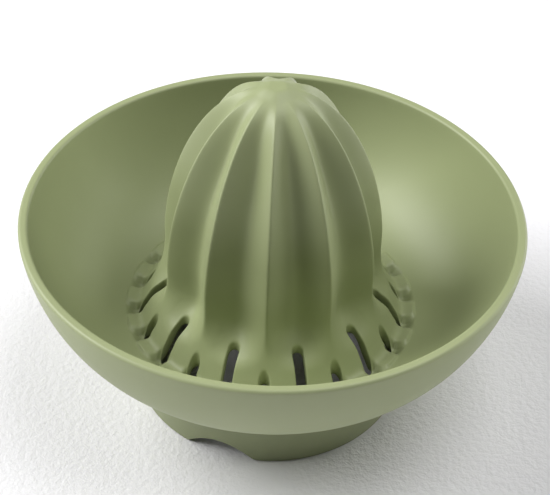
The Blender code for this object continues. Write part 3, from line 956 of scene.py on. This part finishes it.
# The foot ring's material is a darker copy of the head's: painted shade, for the shadow under the bowl.
for piece, name, painted_shade in ((head, "head_plastic_fine", 1.0), (foot, "foot_plastic_fine", FOOT_PAINTED_SHADE)):
    piece.data.materials.append(sage_plastic(name, painted_shade))
    print(piece.name, "wears", name)

# %% [markdown]
# ## The table
# The photograph has a white, finely plastered table top. A flat white plane would look like
# paper, so the plane gets a relief from two noises, dabs of about two millimetres and finer dust.
# It is a stage, not part of the juicer.

# %% A pale plaster floor
FLOOR_HALF = 2.5                # metres
FLOOR_COLOUR = (0.84, 0.832, 0.86, 1.0)
FLOOR_ROUGHNESS = 0.9
DABS_PER_M = 560.0
DABS_OCTAVES = 3.0
DABS_HEIGHT = 0.30 * MM
DUST_PER_M = 1600.0
DUST_OCTAVES = 2.0
DUST_HEIGHT = 0.10 * MM
PLASTER_BUMP = 1.0


def plaster(name):
    """Pale, very rough, with a relief of millimetre dabs and finer dust."""
    material, shader, place = fresh_material(name)
    dabs = noise(place, DABS_PER_M, DABS_OCTAVES)
    dust = noise(place, DUST_PER_M, DUST_OCTAVES)
    bump(dabs * DABS_HEIGHT + dust * DUST_HEIGHT, PLASTER_BUMP).feed(shader, "Normal")
    shader.inputs["Base Color"].default_value = FLOOR_COLOUR
    shader.inputs["Roughness"].default_value = FLOOR_ROUGHNESS
    return material


floor_mesh = bpy.data.meshes.new("table_top")
corners = FLOOR_HALF * np.array([(-1, -1, 0), (1, -1, 0), (1, 1, 0), (-1, 1, 0)], float)
floor_mesh.from_pydata(corners.tolist(), [], [(0, 1, 2, 3)])
floor_mesh.materials.append(plaster("plaster"))
floor = bpy.data.objects.new("table_top", floor_mesh)
bpy.context.scene.collection.objects.link(floor)
print("table top", 2 * FLOOR_HALF, "m across")

# %% [markdown]
# ## Light
# The photograph has one large soft light on the left, weaker light from above and from behind on
# the right, and very little from the front. One even bright sky would fill the flutes and make
# them flat. So three soft area lamps do the work: the left one draws the crests and the bright
# right inside of the bowl, the upper one lights the lip and the skirt, the low one behind lights
# the table and the bowl's edge. The sky is kept weak, so the flutes and the foot stay dark.

# %% Soft studio light
AIM = Vector((0.0, 0.0, 0.05))
DISTANCE = 1.5                  # metres from the aim to every lamp
SKY_STRENGTH = 0.03


def softbox(name, size, power, azimuth, elevation):
    """A rectangular lamp on a sphere round the aim, turned to look at it.

    Size in metres, power in watts, angles in degrees. Azimuth 0 is to the right, 90 behind.
    """
    data = bpy.data.lights.new(name, "AREA")
    data.shape = "RECTANGLE"
    data.size, data.size_y = size
    data.energy = power
    lamp = bpy.data.objects.new(name, data)
    a, e = math.radians(azimuth), math.radians(elevation)
    toward = Vector((math.cos(a) * math.cos(e), math.sin(a) * math.cos(e), math.sin(e)))
    lamp.location = AIM + DISTANCE * toward
    lamp.rotation_euler = toward.to_track_quat("Z", "Y").to_euler()
    bpy.context.scene.collection.objects.link(lamp)
    print(name, power, "W from azimuth", azimuth, "and elevation", elevation)


softbox("key_light", size=(1.2, 0.8), power=31.0, azimuth=174.0, elevation=40.0)
softbox("back_light", size=(1.6, 0.7), power=14.0, azimuth=27.0, elevation=14.0)
softbox("top_light", size=(1.0, 0.9), power=12.5, azimuth=0.0, elevation=71.0)
world = bpy.data.worlds.new("pale_room")
world.use_nodes = True
sky = world.node_tree.nodes["Background"]
sky.inputs["Color"].default_value = (1.0, 1.0, 1.0, 1.0)
sky.inputs["Strength"].default_value = SKY_STRENGTH
bpy.context.scene.world = world

# %% [markdown]
# ## The camera
# The camera's place was found by matching the photograph's rim, lip and reamer with a model of
# the juicer: how far it stands from the rim's centre, how high, how much it is rolled, and how
# far its aim lies beside that centre. A camera that is only pointed at the middle would put the
# rim in the wrong place.

# %% The photograph's camera
PHOTO_W = 550                   # pixels
FOCAL = 1400.0                  # pixels
SENSOR = 36.0                   # mm, across the photograph's width
CAMERA_DISTANCE = 388.1 * MM
CAMERA_RISE = math.radians(38.517)
CAMERA_AZIMUTH = math.radians(1.63)
CAMERA_ROLL = math.radians(1.856)
AIM_ACROSS = -0.00110           # radians, aim to the side of the rim's centre
AIM_UP = 0.02660                # radians, aim above it
RIM_CENTRE = Vector((0.0, 0.0, 59.58 * MM))
CLIP_START = 0.01               # metres


def turned(first, second, angle):
    """Two unit vectors turned in their own plane: f cos a + s sin a, and s cos a - f sin a."""
    return (math.cos(angle) * first + math.sin(angle) * second,
            math.cos(angle) * second - math.sin(angle) * first)


def photo_camera():
    """Looks at the rim's centre, then rolls, pans and tilts by small angles, then goes round."""
    forward = Vector((0.0, math.cos(CAMERA_RISE), -math.sin(CAMERA_RISE)))
    right = Vector((1.0, 0.0, 0.0))
    up = right.cross(forward)
    place = RIM_CENTRE - CAMERA_DISTANCE * forward
    right, up = turned(right, up, CAMERA_ROLL)
    right, forward = turned(right, forward, AIM_ACROSS)
    up, forward = turned(up, forward, AIM_UP)
    basis = Matrix((right, up, -forward)).transposed().to_4x4()
    basis.translation = place
    return Matrix.Rotation(CAMERA_AZIMUTH, 4, "Z") @ basis


camera_data = bpy.data.cameras.new("photo_camera")
camera_data.sensor_width = SENSOR
camera_data.lens = FOCAL * SENSOR / PHOTO_W
camera_data.clip_start = CLIP_START
camera = bpy.data.objects.new("photo_camera", camera_data)
camera.matrix_world = photo_camera()
bpy.context.scene.collection.objects.link(camera)
bpy.context.scene.camera = camera
bpy.context.scene.view_settings.view_transform = "Standard"
print("lens", round(camera_data.lens, 1), "mm")
